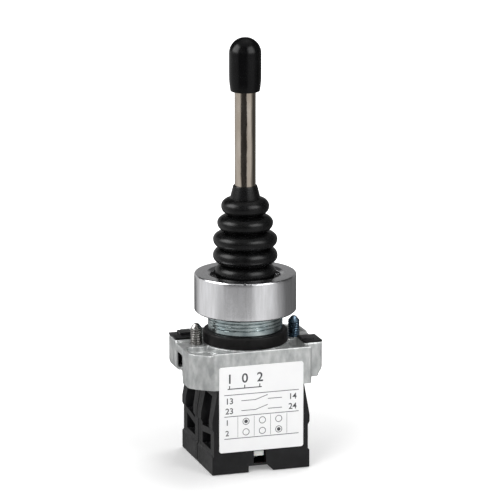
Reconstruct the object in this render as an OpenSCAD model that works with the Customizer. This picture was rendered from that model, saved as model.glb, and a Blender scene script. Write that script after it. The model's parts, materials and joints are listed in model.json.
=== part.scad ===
// Two-direction lever switch for a 22 mm panel hole.
// Millimetres. The origin is under the middle of the part, +Z runs up along the lever,
// -Y is the labelled front and +X is to its right.

/* [Lever] */
// Overall height, from the feet of the contact blocks to the top of the grip
overall_h = 126.1; // [124:0.1:140]
// Diameter of the lever rod
rod_d = 6.2; // [5.8:0.1:6.4]
// Diameter of the grip cap
grip_d = 9.4; // [9:0.1:11]
// Length of the grip cap
grip_len = 15.8; // [14:0.1:20]
// Travel of the lever to each side, in degrees
lever_swing = 15; // [10:1:15]

/* [Bellows boot] */
// Number of folds
boot_folds = 5; // [4:1:5]
// Distance from fold to fold
boot_pitch = 4.93; // [4.7:0.01:5]
// Radius of the rounded edge of a fold
fold_r = 2.05; // [2:0.05:2.3]
// Thickness of the rubber
boot_wall = 0.9; // [0.7:0.1:1]

/* [Head] */
// Outer diameter of the bezel ring
bezel_d = 30; // [29:0.5:32]
// Height of the bezel ring
bezel_h = 11.5; // [11.2:0.1:12]
// Diameter of the threaded neck, for the 22 mm panel hole
neck_d = 22; // [21.9:0.1:22.2]
// Bare length of neck between the seal ring and the bezel
neck_gap = 5.4; // [5:0.1:8]
// Outer diameter of the seal ring
seal_d = 25; // [24:0.5:25]
// Height of the seal ring
seal_h = 3.6; // [3:0.1:4]

/* [Collar] */
// Height of the cast collar
collar_h = 10.5; // [10.4:0.1:11.5]
// Depth of the collar and of the pair of contact blocks, front to back
body_depth = 31; // [30:0.1:31.4]
// Distance between the two clamp screws
clamp_pitch = 30; // [29.6:0.1:30.4]
// Diameter of the clamp screws
clamp_d = 3.5; // [3.3:0.1:4]

/* [Contact blocks] */
// Height of a contact block
block_h = 25.4; // [25.4:0.1:26]
// Width of a contact block at its widest
block_w = 29.8; // [29.4:0.1:30]
// Gap between the front and the rear block
block_gap = 0.6; // [0.4:0.1:0.8]
// Thickness of the cover that closes the inner side of a block
cover_t = 1.5; // [1.2:0.1:1.8]

/* [Label] */
// Width of the rating label
label_w = 25.7; // [24:0.1:26]
// Height of the rating label
label_h = 25.8; // [25:0.1:27]
// Thickness of the label
label_t = 0.3; // [0.2:0.05:0.4]

/* [Hidden] */
$fn = 72;

// Hair's breadth that makes a cut run past the face it opens
eps = 0.01;
// Clearance between parts that are pushed together by hand
slip = 0.05;
// Radial clearance of a part that turns or slides on another
run = 0.03;

// Levels, from the feet up
collar_z = block_h;
carrier_top = collar_z + 7.2;
tray_z = carrier_top + 1.3;
seal_z = collar_z + collar_h;
neck_z = seal_z + seal_h;
bezel_z = neck_z + neck_gap;
bezel_top = bezel_z + bezel_h;
pivot_z = bezel_top - 7.1;
grip_z = overall_h - grip_len;

// Head
bezel_r = bezel_d / 2;
neck_r = neck_d / 2;
nose_r = 10;
bush_bore = 8.25;
bush_top = bezel_top - 3.1;
flange_r = 11.9;
flange_t = 1.2;
clamp_ring_t = 0.6;
boot_flange_t = 1;
lip_z = bush_top + clamp_ring_t + boot_flange_t;
lip_bore = 10.3;
thread_pitch = 1;
thread_depth = 0.35;

// Pivot: the hub and the plate under it turn on the pin
pin_r = 1.5;
hub_half_h = 3.6;
hub_r = 7.4;
hub_flat_x = 6.3;
hub_flat_y = 5.2;
plate_drop = 6;
plate_half_y = 5.5;
plate_half_x = 3.2;
plate_t = 1.4;
stub_r = 2;
seat_x = 8.4;
washer_r = 2.8;
thrust_t = 0.8;
rod_r = rod_d / 2;

// Pushers: they stand under the two ends of the plate
pusher_y = 5;
pusher_r = 1.2;
plate_gap = 0.35;
pusher_top = pivot_z - plate_drop - plate_gap;
travel = pusher_y * tan(lever_swing);

// Contact blocks, described for the front one; the rear one is turned half round
half_depth = body_depth / 2;
block_y = (half_depth + block_gap / 2) / 2;
inner_face = block_gap / 2;
cover_face = inner_face + cover_t;
plunger_top = block_h + 1.8;
plunger_r = 2.5;
plunger_foot = 3.6;
cavity_x = 6.3;
cavity_floor = 2;
cavity_top = block_h - 4;
cavity_front = half_depth - 2.4;
skin = 1;
strip_x = 7.6;
strip_t = 0.8;
strip_w = 6;
strip_low = 5.8;
strip_top = 21;
contact_x = 4.5;
contact_r = 1;
contact_h = 0.4;
bridge_t = 0.6;
bridge_z = strip_low + strip_t + contact_h + travel + 0.03 + contact_h;
screw_z = 17.6;
terminal_r = 1.48;
clamp_x = 9;
spring_bore_top = 7.4;

// ---------- shared shapes ----------

// Rectangle with true round corners
module round_rect(x0, x1, y0, y1, r) {
    translate([x0 + r, y0])
        square([x1 - x0 - 2 * r, y1 - y0]);
    translate([x0, y0 + r])
        square([x1 - x0, y1 - y0 - 2 * r]);
    for (x = [x0 + r, x1 - r], y = [y0 + r, y1 - r])
        translate([x, y])
            circle(r = r);
}

// Tube standing on z0
module tube(r_out, r_in, z0, h) {
    translate([0, 0, z0])
        rotate_extrude()
            translate([r_in, 0])
                square([r_out - r_in, h]);
}

// Box from its lowest to its highest corner
module span(a, b) {
    translate(a)
        cube(b - a);
}

// Outline in the X-Z plane, carried from y0 to y1
module along_y(y0, y1) {
    translate([0, y1, 0])
        rotate([90, 0, 0])
            linear_extrude(y1 - y0)
                children();
}

// Outline in the Y-Z plane, carried from x0 to x1
module along_x(x0, x1) {
    translate([x0, 0, 0])
        rotate([90, 0, 90])
            linear_extrude(x1 - x0)
                children();
}

// Both halves of something that repeats when turned half round
module twice() {
    children();
    rotate([0, 0, 180])
        children();
}

// Round wire of radius w on a helix: each ring of six points is set square to Z
module coil_spring(r, w, turns, h) {
    sides = 6;
    steps = ceil(turns * 12);
    rise = h - 2 * w;
    points = [
        for (i = [0:steps], j = [0:sides - 1])
            let (a = 360 * turns * i / steps, b = 360 * j / sides)
            [(r + w * cos(b)) * cos(a), (r + w * cos(b)) * sin(a), w + rise * i / steps + w * sin(b)]
    ];
    walls = [
        for (i = [0:steps - 1], j = [0:sides - 1])
            let (k = (j + 1) % sides, p = i * sides, q = p + sides)
            each [[p + j, p + k, q + k], [p + j, q + k, q + j]]
    ];
    first = [for (j = [sides - 1:-1:0]) j];
    last = [for (j = [0:sides - 1]) steps * sides + j];
    polyhedron(points, concat([first], walls, [last]));
}

// ---------- head ----------

module bezel_ring() {
    rim = 0.7;
    step_z = bush_top - flange_t;
    color("silver")
        difference() {
            rotate_extrude()
                polygon([
                    [neck_r + slip, bezel_z],
                    [bezel_r - 0.6, bezel_z],
                    [bezel_r, bezel_z + 0.5],
                    [bezel_r, bezel_top - rim],
                    [bezel_r - 0.5, bezel_top],
                    [lip_bore + 0.9, bezel_top],
                    [lip_bore, bezel_top - 0.6],
                    [lip_bore, lip_z],
                    [flange_r + slip, lip_z],
                    [flange_r + slip, step_z],
                    [neck_r + slip, step_z]
                ]);
            // Seat for the gasket in the underside
            tube(13.4 + slip, 11.8 - slip, bezel_z - eps, 0.8 + eps);
            // Index notch in the rim
            rotate([0, 0, -18])
                translate([0, -bezel_r - eps, bezel_top])
                    rotate([-90, 0, 0])
                        cylinder(r = 0.45, h = 1.2);
        }
}

module panel_gasket() {
    color("black")
        tube(13.4, 11.8, bezel_z, 0.8);
}

module threaded_bush() {
    color("lightslategray")
        difference() {
            rotate_extrude()
                polygon([
                    [bush_bore, carrier_top],
                    [nose_r, carrier_top],
                    [nose_r, neck_z],
                    [neck_r, neck_z],
                    [neck_r, neck_z + 1.3],
                    for (i = [0:4])
                        each [
                            [neck_r - thread_depth, neck_z + 1.8 + i * thread_pitch],
                            [neck_r, neck_z + 2.3 + i * thread_pitch]
                        ],
                    [neck_r, bush_top - flange_t],
                    [flange_r, bush_top - flange_t],
                    [flange_r, bush_top],
                    [bush_bore, bush_top]
                ]);
            // Holes for the pivot pin, with flat seats for its washers
            translate([-bezel_r, 0, pivot_z])
                rotate([0, 90, 0])
                    cylinder(r = pin_r + 0.01, h = bezel_d);
            translate([-seat_x, 0, pivot_z])
                rotate([0, 90, 0])
                    cylinder(r = washer_r + 0.2, h = 2 * seat_x);
        }
}

module boot_clamp_ring() {
    color("gray")
        tube(flange_r, bush_bore + 0.1, bush_top, clamp_ring_t);
}

// Radius over each fold: the boot swells a little, then narrows towards the rod
function fold_size(i) = [8.9, 9.5, 9.45, 8.2, 7.06][i];
function fold_z(i) = bezel_top + 0.2 + i * boot_pitch;

// Radius of the core at each fold, just wide enough for the hollow of the fold to open into it
function core_size(i) = fold_size(i) - 2 * fold_r + 2 * boot_wall + 0.15;

// Outer face of the boot, taken in by t: folds are rounds on a tapering core
module boot_face(t) {
    top = fold_z(boot_folds - 1);
    for (i = [0:boot_folds - 1])
        translate([fold_size(i) - fold_r, fold_z(i)])
            circle(r = fold_r - t);
    polygon([
        [0, lip_z - boot_flange_t - eps],
        [8.9 - t, lip_z - boot_flange_t - eps],
        for (i = [0:boot_folds - 1]) [core_size(i) - t, fold_z(i)],
        [4.4 - t, top + fold_r - t],
        [0, top + fold_r - t]
    ]);
}

module boot() {
    neck_low = fold_z(boot_folds - 1) + fold_r - 0.4;
    color("#1c1c1e")
        difference() {
            rotate_extrude()
                intersection() {
                    union() {
                        boot_face(0);
                        translate([0, lip_z - boot_flange_t])
                            square([flange_r - slip, boot_flange_t]);
                        polygon([
                            [0, neck_low], [4.5, neck_low], [3.65, neck_low + 4.5],
                            [0, neck_low + 4.5]
                        ]);
                    }
                    translate([0, lip_z - boot_flange_t])
                        square([20, 60]);
                }
            rotate_extrude()
                intersection() {
                    union() {
                        boot_face(boot_wall);
                        square([rod_r + slip, 100]);
                    }
                    translate([0, 10])
                        square([20, 100]);
                }
        }
}

module seal_ring() {
    color("black")
        tube(seal_d / 2, nose_r + slip, seal_z, seal_h);
}

// ---------- pivot and lever ----------

module pivot_pin() {
    color("silver")
        translate([-neck_r + 0.2, 0, pivot_z])
            rotate([0, 90, 0])
                cylinder(r = pin_r, h = neck_d - 0.4);
}

// A washer on the pin, between x0 and x0 + t on both sides of the hub
module pin_washers(x0, t, cone) {
    twice()
        translate([x0, 0, pivot_z])
            rotate([0, 90, 0])
                rotate_extrude()
                    polygon([
                        [pin_r + slip, 0], [washer_r, cone], [washer_r, cone + t],
                        [pin_r + slip, t]
                    ]);
}

module thrust_washers() {
    color("silver")
        pin_washers(seat_x - thrust_t, thrust_t, 0);
}

module friction_washers() {
    color("dimgray") {
        pin_washers(hub_flat_x + 0.05, 0.35, 0.2);
        pin_washers(hub_flat_x + 0.7, 0.35, 0.2);
    }
}

module cross_bore() {
    translate([-bezel_r, 0, pivot_z])
        rotate([0, 90, 0])
            cylinder(r = pin_r + run, h = bezel_d);
}

module pivot_hub() {
    low = pivot_z - hub_half_h;
    color("gray")
        difference() {
            intersection() {
                translate([0, 0, low])
                    cylinder(r = hub_r, h = 2 * hub_half_h);
                span([-hub_flat_x, -hub_flat_y, low], [hub_flat_x, hub_flat_y, low + 2 * hub_half_h]);
            }
            translate([0, 0, low - eps])
                cylinder(r = rod_r + 0.02, h = 2 * hub_half_h + 2 * eps);
            cross_bore();
        }
}

module pusher_plate() {
    low = pivot_z - plate_drop;
    color("darkgray")
        difference() {
            union() {
                translate([0, 0, low])
                    linear_extrude(plate_t)
                        round_rect(-plate_half_x, plate_half_x, -plate_half_y, plate_half_y, 0.6);
                translate([0, 0, low + plate_t])
                    cylinder(r = plate_half_x, h = plate_drop - hub_half_h - plate_t);
            }
            translate([0, 0, low - eps])
                cylinder(r = stub_r + 0.02, h = plate_drop);
        }
}

module lever_rod() {
    low = pivot_z - hub_half_h;
    color("lightgray")
        difference() {
            rotate_extrude()
                polygon([
                    [0, pivot_z - plate_drop + 0.3], [stub_r, pivot_z - plate_drop + 0.3],
                    [stub_r, low], [rod_r, low], [rod_r, overall_h - 3.5],
                    [rod_r - 0.5, overall_h - 3], [0, overall_h - 3]
                ]);
            cross_bore();
        }
}

module grip_cap() {
    r = grip_d / 2;
    color("#151516")
        difference() {
            rotate_extrude()
                intersection() {
                    union() {
                        translate([0, overall_h - r])
                            circle(r = r);
                        polygon([
                            [0, grip_z], [r - 0.9, grip_z], [r - 0.45, grip_z + 0.35],
                            [r - 0.15, grip_z + 1.6], [r, grip_z + 4], [r, overall_h - r],
                            [0, overall_h - r]
                        ]);
                    }
                    square([r + 1, overall_h + 1]);
                }
            translate([0, 0, grip_z - eps])
                cylinder(r = rod_r + 0.02, h = overall_h - 3 - grip_z + eps);
        }
}

// ---------- collar ----------

// Half of the collar's outline, taken in by t: a flat front, a round column at its left
// and the foot of a clamp screw at each end
module collar_outline(t) {
    round_rect(-14.6 + t, 15.6 - t, -half_depth + t, 2, 0.8);
    // Column, with a slanted face towards the front
    round_rect(-20.5 + t, -13, -11.6 + t, -2.4 - t, 2);
    polygon([
        [-14.2 + t, 0], [-19.2 + t, -10.5], [-19.2 + t, -11.95 + t], [-14.3 + t, -half_depth + t]
    ]);
    round_rect(-18.5 + t, -10, -7, 4 - t, 1.2);
    translate([clamp_pitch / 2, 0])
        circle(r = 3.5 - t);
}

// Ear with a slanted foot; its cavity is open at the top, where a latch goes in
module ear(low, top) {
    x = 20.4;
    difference() {
        union() {
            translate([0, 0, low])
                linear_extrude(top - low)
                    round_rect(13, x, -10.9, -3.5, 0.8);
            // Bridge to the column behind it
            translate([0, 0, top - 3])
                linear_extrude(2.3)
                    round_rect(16, x, -4.5, 4, 0.8);
        }
        along_y(-15, -3)
            polygon([
                [x + 1, top - 7.4], [x, top - 7.4], [x - 0.5, top - 8.5], [x - 1.1, top - 9.3],
                [x - 1.6, top - 11], [x - 2, top - 13], [x + 1, top - 13]
            ]);
        span([16.4, -10, low + 0.9], [x - 0.9, -5, top + eps]);
        // Opening towards the column
        span([16.4, -5.4, low + 0.9], [x - 0.9, -3, top - 3.6]);
    }
}

module collar() {
    rim = 0.6;
    ear_top = seal_z + 0.5;
    color("darkgray")
        difference() {
            union() {
                translate([0, 0, collar_z])
                    linear_extrude(collar_h)
                        twice()
                            collar_outline(0);
                // Rims along the front and the rear
                translate([0, 0, seal_z - eps])
                    linear_extrude(rim + eps)
                        twice()
                            round_rect(-14.6, 15.6, -half_depth, -half_depth + 1, 0.4);
                // The left ear hangs less deep than the right one
                ear(collar_z + 0.6, ear_top);
                rotate([0, 0, 180])
                    ear(collar_z + 1.9, ear_top);
            }
            // Tray between the walls, the seat of the seal ring and the pads of the screws
            translate([0, 0, tray_z])
                linear_extrude(5)
                    difference() {
                        twice()
                            collar_outline(1);
                        circle(r = seal_d / 2 + 0.3);
                        for (x = [-1, 1])
                            translate([x * clamp_pitch / 2, 0])
                                circle(r = 3.8);
                    }
            // Socket for the nose of the bush
            translate([0, 0, collar_z - eps])
                cylinder(r = nose_r + 0.1, h = collar_h + 2);
            // Pocket for the guide carrier
            translate([0, 0, collar_z - eps])
                linear_extrude(carrier_top - collar_z + eps)
                    round_rect(-11.75, 11.75, -11.75, 11.75, 2);
            // Threads of the clamp screws
            for (x = [-1, 1])
                translate([x * clamp_pitch / 2, 0, collar_z - eps])
                    cylinder(r = clamp_d / 2 + 0.02, h = collar_h + 2);
        }
}

module clamp_screws() {
    low = collar_z + 1.2;
    r = clamp_d / 2;
    tip = neck_z + 2.7;
    color("slategray")
        for (x = [-1, 1])
            translate([x * clamp_pitch / 2, 0, 0])
                difference() {
                    rotate_extrude()
                        polygon([
                            [0, low], [r, low], [r, tip - 1.5], [0.7, tip - 0.1],
                            [0, tip]
                        ]);
                    span([-r - 1, -0.4, low - 1], [r + 1, 0.4, low + 1.2]);
                }
}

module guide_carrier() {
    top = carrier_top;
    tower = neck_z;
    foot_x = 2;
    color("#242426")
        difference() {
            union() {
                translate([0, 0, collar_z])
                    linear_extrude(top - collar_z)
                        round_rect(-11.7, 11.7, -11.7, 11.7, 2);
                translate([0, 0, top - eps])
                    cylinder(r = bush_bore - 0.35, h = tower - top + eps);
            }
            // Guide bores of the two pushers
            for (y = [-1, 1])
                translate([0, y * pusher_y, collar_z])
                    cylinder(r = pusher_r + run, h = 20);
            // Room for the feet of the pushers to rise and fall
            span([-foot_x - 0.3, -9.7, collar_z - eps],
                [foot_x + 0.3, 9.7, plunger_top + 2 + travel]);
            // Room for the heads of the plungers
            for (y = [-1, 1])
                translate([0, y * block_y, collar_z - eps])
                    cylinder(r = plunger_r + 0.35, h = plunger_top - collar_z + travel + 0.4);
        }
}

module side_latches() {
    low = collar_z + 6.2;
    rim_z = seal_z + 0.5;
    color("#1b1b1d")
        twice()
            union() {
                // Hook, and the plate with its thumb ridge that covers the ear
                span([16.45, -9.95, low], [19.45, -5.05, rim_z + 0.4]);
                span([14.8, -10.8, rim_z + 0.02], [20.3, -3.7, rim_z + 0.6]);
                span([14.2, -10.2, rim_z + 0.3], [18, -6.6, rim_z + 1.3]);
                // Leg that stands on the floor of the ear
                span([16.45, -9.95, collar_z + 2.8], [17.5, -5.5, low + eps]);
            }
}

// ---------- pushers ----------

module pusher() {
    foot_t = 1.6;
    color("gainsboro") {
        translate([0, -pusher_y, plunger_top + foot_t / 2])
            cylinder(r = pusher_r, h = pusher_top - pusher_r - plunger_top - foot_t / 2);
        translate([0, -pusher_y, pusher_top - pusher_r])
            sphere(r = pusher_r);
        translate([0, 0, plunger_top])
            linear_extrude(foot_t)
                round_rect(-1.9, 1.9, -9.4, -3.6, 0.8);
    }
}

module front_pusher() {
    pusher();
}

module rear_pusher() {
    rotate([0, 0, 180])
        pusher();
}

// ---------- contact blocks ----------

// Side of a block: a foot, a waist and a head that slopes in to the collar
module block_profile() {
    w = block_w / 2;
    polygon([
        [-w, 0], [w, 0], [w, 5.2], [w - 0.5, 5.8], [w - 0.5, 13], [w, 13.9],
        [w, 16], [w - 1.7, block_h], [-w + 1.7, block_h], [-w, 16],
        [-w, 13.9], [-w + 0.5, 13], [-w + 0.5, 5.8], [-w, 5.2]
    ]);
}

// Openings in the end of a block: screw pocket above, wire entry below a slanted bar
module end_openings() {
    along_x(strip_x, 20)
        polygon([
            [-block_y - 4.1, 13.3], [-block_y + 4.1, 12.2], [-block_y + 3.4, block_h - 2.6],
            [-block_y - 3.4, block_h - 2.6]
        ]);
    along_x(block_w / 2 - 3.3, 20)
        polygon([
            [-block_y - 4.1, 6.9], [-block_y + 4.1, 6.9], [-block_y + 4.1, 10.2],
            [-block_y - 4.1, 11.5]
        ]);
    // Slot that the fixed contact is pushed into
    span([strip_x - slip, -block_y - strip_w / 2 - slip, strip_low - slip],
        [strip_x + strip_t + slip, -block_y + strip_w / 2 + slip, 13.5]);
    span([cavity_x - 1, -block_y - strip_w / 2 - slip, strip_low - slip],
        [strip_x + eps, -block_y + strip_w / 2 + slip, strip_low + strip_t + slip]);
    // Room for the tip of the terminal screw
    translate([strip_x - 1, -block_y, screw_z])
        rotate([0, 90, 0])
            cylinder(r = terminal_r + 0.2, h = 2);
}

module block_housing() {
    color("#202022")
        difference() {
            along_y(-half_depth, -cover_face)
                block_profile();
            // Inside
            span([-cavity_x, -cavity_front, cavity_floor], [cavity_x, -cover_face + eps, cavity_top]);
            // Bore of the plunger
            translate([0, -block_y, cavity_top - eps])
                cylinder(r = plunger_r + run, h = 5);
            // Recess behind the front skin, for the plunger's tab
            span([-2.4, -half_depth + skin, cavity_floor], [1.6, -cavity_front + eps, 8]);
            // Window in the front skin
            span([-2.3, -half_depth - 1, 2.5], [1.5, -half_depth + skin + eps, 6.4]);
            // Notch under the window, running out towards the inside
            intersection() {
                along_y(-half_depth - 1, 0)
                    polygon([[-3.8, -1], [4.6, -1], [3.7, 0], [1.9, 1.9], [-3.8, 1.9]]);
                along_x(-5, 5)
                    polygon([
                        [-half_depth - 1, -1], [-half_depth + 9, -1], [-half_depth + 6, 0],
                        [-half_depth, 1.9], [-half_depth - 1, 1.9]
                    ]);
            }
            twice_mirrored()
                end_openings();
        }
}

// Something on the right, and its mirror image on the left
module twice_mirrored() {
    children();
    mirror([1, 0, 0])
        children();
}

module block_cover() {
    color("#262628")
        difference() {
            along_y(-cover_face, -inner_face)
                block_profile();
            // Finger notches at the foot and the head of the cover
            along_y(-cover_face - 1, 0) {
                translate([0, -2])
                    circle(r = 3.5);
                translate([0, block_h + 2.2])
                    circle(r = 3.5);
            }
        }
}

module plunger() {
    window_top = bridge_z + bridge_t + 3.2;
    color("ivory")
        difference() {
            union() {
                translate([0, -block_y, plunger_foot])
                    cylinder(r = plunger_r, h = plunger_top - plunger_foot);
                // Arm with the tab that shows in the front window
                span([-1.9, -half_depth + skin + 0.15, plunger_foot + 0.9],
                    [1.1, -block_y, plunger_foot + 2.8]);
            }
            // Bore of the return spring
            translate([0, -block_y, plunger_foot - eps])
                cylinder(r = 1.75, h = spring_bore_top - plunger_foot);
            // Window of the contact bridge
            span([-5, -block_y - 1.55, bridge_z], [5, -block_y + 1.55, window_top]);
        }
}

module contact_bridge() {
    color("goldenrod") {
        span([-5.6, -block_y - 1.5, bridge_z], [5.6, -block_y + 1.5, bridge_z + bridge_t]);
        for (x = [-contact_x, contact_x])
            translate([x, -block_y, bridge_z - contact_h])
                cylinder(r = contact_r, h = contact_h + eps);
    }
}

module contact_spring() {
    color("silver")
        translate([0, -block_y, bridge_z + bridge_t])
            coil_spring(0.95, 0.2, 3.5, 3.2);
}

module return_spring() {
    color("silver")
        translate([0, -block_y, cavity_floor])
            coil_spring(1.35, 0.2, 5, spring_bore_top - cavity_floor - eps);
}

module fixed_contacts() {
    color("peru")
        twice_mirrored()
            difference() {
                union() {
                    span([strip_x, -block_y - strip_w / 2, strip_low],
                        [strip_x + strip_t, -block_y + strip_w / 2, strip_top]);
                    span([contact_x - 1.2, -block_y - 1.6, strip_low],
                        [strip_x + eps, -block_y + 1.6, strip_low + strip_t]);
                    translate([contact_x, -block_y, strip_low + strip_t - eps])
                        cylinder(r = contact_r, h = contact_h + eps);
                }
                translate([strip_x - 1, -block_y, screw_z])
                    rotate([0, 90, 0])
                        cylinder(r = terminal_r + 0.02, h = 3);
            }
}

module terminal_clamps() {
    color("silver")
        twice_mirrored()
            difference() {
                span([clamp_x, -block_y - 3, screw_z - 3], [clamp_x + 0.8, -block_y + 3, screw_z + 3]);
                translate([clamp_x - 1, -block_y, screw_z])
                    rotate([0, 90, 0])
                        cylinder(r = terminal_r + 0.12, h = 3);
            }
}

module terminal_screws() {
    head_x = clamp_x + 0.8;
    color("lightgray")
        twice_mirrored()
            translate([0, -block_y, screw_z])
                difference() {
                    union() {
                        translate([strip_x - 0.8, 0, 0])
                            rotate([0, 90, 0])
                                cylinder(r = terminal_r, h = head_x - strip_x + 0.8 + eps);
                        translate([head_x, 0, 0])
                            rotate([0, 90, 0])
                                rotate_extrude()
                                    polygon([[0, 0], [2.9, 0], [2.9, 1.4], [2.3, 1.9], [0, 1.9]]);
                    }
                    span([head_x + 0.9, -0.45, -4], [head_x + 3, 0.45, 4]);
                    span([head_x + 0.9, -1.9, -0.45], [head_x + 3, 1.9, 0.45]);
                }
}

// The rear block is the front one turned half round
module front_block_housing() {
    block_housing();
}

module rear_block_housing() {
    rotate([0, 0, 180])
        block_housing();
}

module front_block_cover() {
    block_cover();
}

module rear_block_cover() {
    rotate([0, 0, 180])
        block_cover();
}

module front_plunger() {
    plunger();
}

module rear_plunger() {
    rotate([0, 0, 180])
        plunger();
}

module front_contact_bridge() {
    contact_bridge();
}

module rear_contact_bridge() {
    rotate([0, 0, 180])
        contact_bridge();
}

module front_contact_spring() {
    contact_spring();
}

module rear_contact_spring() {
    rotate([0, 0, 180])
        contact_spring();
}

module front_return_spring() {
    return_spring();
}

module rear_return_spring() {
    rotate([0, 0, 180])
        return_spring();
}

module front_fixed_contacts() {
    fixed_contacts();
}

module rear_fixed_contacts() {
    rotate([0, 0, 180])
        fixed_contacts();
}

module front_terminal_clamps() {
    terminal_clamps();
}

module rear_terminal_clamps() {
    rotate([0, 0, 180])
        terminal_clamps();
}

module front_terminal_screws() {
    terminal_screws();
}

module rear_terminal_screws() {
    rotate([0, 0, 180])
        terminal_screws();
}

// ---------- label ----------

module rating_label() {
    low = collar_z + 7 - label_h;
    color("white")
        along_y(-half_depth - label_t, -half_depth)
            round_rect(-label_w / 2, label_w / 2, low, low + label_h, 0.7);
}

// ---------- parts ----------

bezel_ring();
panel_gasket();
threaded_bush();
boot_clamp_ring();
boot();
pivot_pin();
thrust_washers();
friction_washers();
pivot_hub();
pusher_plate();
lever_rod();
grip_cap();
seal_ring();
collar();
clamp_screws();
guide_carrier();
side_latches();
front_pusher();
rear_pusher();
front_block_housing();
rear_block_housing();
front_block_cover();
rear_block_cover();
front_plunger();
rear_plunger();
front_contact_bridge();
rear_contact_bridge();
front_contact_spring();
rear_contact_spring();
front_return_spring();
rear_return_spring();
front_fixed_contacts();
rear_fixed_contacts();
front_terminal_clamps();
rear_terminal_clamps();
front_terminal_screws();
rear_terminal_screws();
rating_label();
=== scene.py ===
# %% [markdown]
# # A panel lever switch
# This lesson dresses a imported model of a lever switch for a 22 mm panel hole. The model brings
# the sizes, the joints and every solid in its place. The cells below give each visible piece its
# finish, and remake the turned, threaded and moulded pieces as finer surfaces. Every surface is
# worked out as whole arrays: a profile of a few corners is rounded, then carried round an axis.

# %% Load the frame
import json
import math
import bmesh
import bpy
import numpy as np
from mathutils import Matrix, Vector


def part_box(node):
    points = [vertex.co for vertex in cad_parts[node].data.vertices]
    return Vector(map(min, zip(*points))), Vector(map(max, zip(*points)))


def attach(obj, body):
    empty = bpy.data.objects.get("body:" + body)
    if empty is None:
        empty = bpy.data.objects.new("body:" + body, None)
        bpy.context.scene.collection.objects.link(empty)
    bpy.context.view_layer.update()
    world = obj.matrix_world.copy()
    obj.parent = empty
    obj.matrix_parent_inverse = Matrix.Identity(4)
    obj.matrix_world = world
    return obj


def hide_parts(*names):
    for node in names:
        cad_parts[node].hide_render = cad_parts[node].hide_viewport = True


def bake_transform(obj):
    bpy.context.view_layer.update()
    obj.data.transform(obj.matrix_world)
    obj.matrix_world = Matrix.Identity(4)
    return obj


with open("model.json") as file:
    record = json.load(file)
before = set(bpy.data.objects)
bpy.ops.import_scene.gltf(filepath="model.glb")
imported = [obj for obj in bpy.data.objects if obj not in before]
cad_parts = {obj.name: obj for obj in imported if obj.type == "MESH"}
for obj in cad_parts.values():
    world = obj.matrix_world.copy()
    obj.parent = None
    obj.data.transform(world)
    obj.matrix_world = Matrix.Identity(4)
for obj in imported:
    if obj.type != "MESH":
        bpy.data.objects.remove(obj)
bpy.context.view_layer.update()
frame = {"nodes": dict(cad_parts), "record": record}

MM = 0.001


def low(node):
    """Lowest corner of a CAD node, in metres."""
    return np.array(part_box(node)[0])


def high(node):
    """Highest corner of a CAD node, in metres."""
    return np.array(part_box(node)[1])

# %% [markdown]
# ## Camera
# A long lens from a metre away keeps the verticals nearly parallel, as a catalogue view does.
# The camera stands to the left of the front and a little above it, so that the end of the
# contact blocks and the top of the bezel both show. It looks at a point on the lever's axis,
# a little right of it.

# %% Camera
VIEW_AZIMUTH = math.radians(-17.6)
VIEW_ELEVATION = math.radians(13.6)
VIEW_DISTANCE = 1.0
VIEW_HEIGHT = 0.0630
VIEW_ASIDE = 0.0014
VIEW_WIDTH = 0.1462

side = np.array([math.cos(VIEW_AZIMUTH), math.sin(VIEW_AZIMUTH), 0])
back = np.array([
    math.sin(VIEW_AZIMUTH) * math.cos(VIEW_ELEVATION),
    -math.cos(VIEW_AZIMUTH) * math.cos(VIEW_ELEVATION),
    math.sin(VIEW_ELEVATION),
])
aim = np.array([0, 0, VIEW_HEIGHT]) + side * VIEW_ASIDE
camera = bpy.data.objects.new("camera", bpy.data.cameras.new("camera"))
bpy.context.scene.collection.objects.link(camera)
camera.location = aim + back * VIEW_DISTANCE
camera.rotation_euler = (math.pi / 2 - VIEW_ELEVATION, 0, VIEW_AZIMUTH)
camera.data.lens = camera.data.sensor_width * VIEW_DISTANCE / VIEW_WIDTH
camera.data.clip_start = 0.01
camera.data.clip_end = 20
bpy.context.scene.camera = camera
print("lens, mm:", round(camera.data.lens, 1))

# %% [markdown]
# ## Studio
# The switch stands on white paper, in a plain white room, between large soft lamps. Nothing here
# belongs to the switch. A few short helpers come first, because materials are built the same way
# all through the lesson.

# %% Helpers for materials and the studio


def principled(name):
    """New node material; returns it, its tree and its main shader."""
    material = bpy.data.materials.new(name)
    material.use_nodes = True
    tree = material.node_tree
    return material, tree, tree.nodes["Principled BSDF"]


def link(tree, start, end):
    """Short for a new link between two sockets."""
    tree.links.new(start, end)


def stage_object(name, points, faces, material):
    """Object of the studio, which isn't part of the switch."""
    mesh = bpy.data.meshes.new(name)
    mesh.from_pydata(np.asarray(points).tolist(), [], np.asarray(faces).tolist())
    mesh.materials.append(material)
    obj = bpy.data.objects.new(name, mesh)
    bpy.context.scene.collection.objects.link(obj)
    return obj


def sees_background(tree):
    """Socket that is 1 for camera, glossy and transmission rays and 0 for all others."""
    path = tree.nodes.new("ShaderNodeLightPath")
    total = path.outputs["Is Camera Ray"]
    for other in ("Is Glossy Ray", "Is Transmission Ray"):
        add = tree.nodes.new("ShaderNodeMath")
        add.operation = "ADD"
        add.use_clamp = True
        link(tree, total, add.inputs[0])
        link(tree, path.outputs[other], add.inputs[1])
        total = add.outputs[0]
    return total


print("helpers for materials and the studio are ready")

# %% [markdown]
# ### Floor
# White paper on a large flat square. Its own glow grows smoothly with the distance from the
# switch, and it is seen but lights nothing. Gloss shows the tent below in the paper's place.

# %% Floor
FLOOR_SIZE = 4
FLOOR_Z = -0.0002
GLOW_START, GLOW_FULL = 0.02, 0.16
GLOW_LEAST = 0.22

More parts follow.
